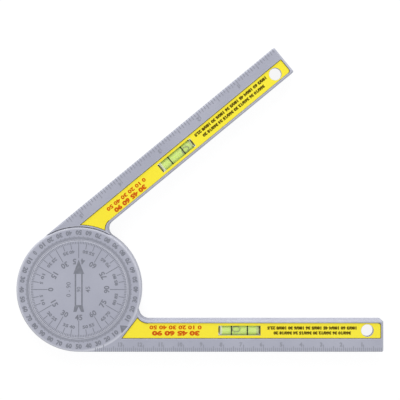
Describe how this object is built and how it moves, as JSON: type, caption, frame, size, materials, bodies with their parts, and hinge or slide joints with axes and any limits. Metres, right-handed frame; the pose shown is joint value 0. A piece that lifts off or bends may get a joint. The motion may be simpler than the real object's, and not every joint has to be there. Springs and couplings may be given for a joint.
{
  "type": "angle finder",
  "caption": "Flat angle finder: two hinged ruler arms with a degree dial and ring at the pivot, and a small spirit level in each arm.",
  "frame": {"origin": "pivot of the two arms, at the flat back", "axes": "+Z out of the dial's face; +X down the scale arm, parallel to its ruler edge, which lies on the -Y side; the dial arm is swung 39.5 degrees towards +Y"},
  "size_m": [0.1836, 0.1519, 0.009],
  "materials": {
    "grey_plastic": "satin moulded grey",
    "yellow_film": "printed film, satin",
    "vial_tube": "clear acrylic tube",
    "vial_liquid": "clear yellow-green liquid",
    "vial_stopper": "pale stopper",
    "soft_rubber": "matte",
    "screw_steel": "zinc plated"
  },
  "bodies": {
    "fixed_arm": {"scale_arm": "grey_plastic", "scale_label": "yellow_film", "scale_vial_barrel": "vial_tube", "scale_vial_liquid": "vial_liquid", "scale_vial_plug": "vial_stopper"},
    "swing_arm": {"dial_arm": "grey_plastic", "dial_disc": "grey_plastic", "hub_screws": "screw_steel", "friction_ring": "soft_rubber", "dial_label": "yellow_film", "dial_vial_barrel": "vial_tube", "dial_vial_liquid": "vial_liquid", "dial_vial_plug": "vial_stopper"}
  },
  "joints": [
    {"name": "arm_pivot", "type": "hinge", "parent": "fixed_arm", "child": "swing_arm", "pos_m": [0, 0, 0], "axis": [0, 0, 1], "range_deg": [-39.5, 140.5]}
  ]
}
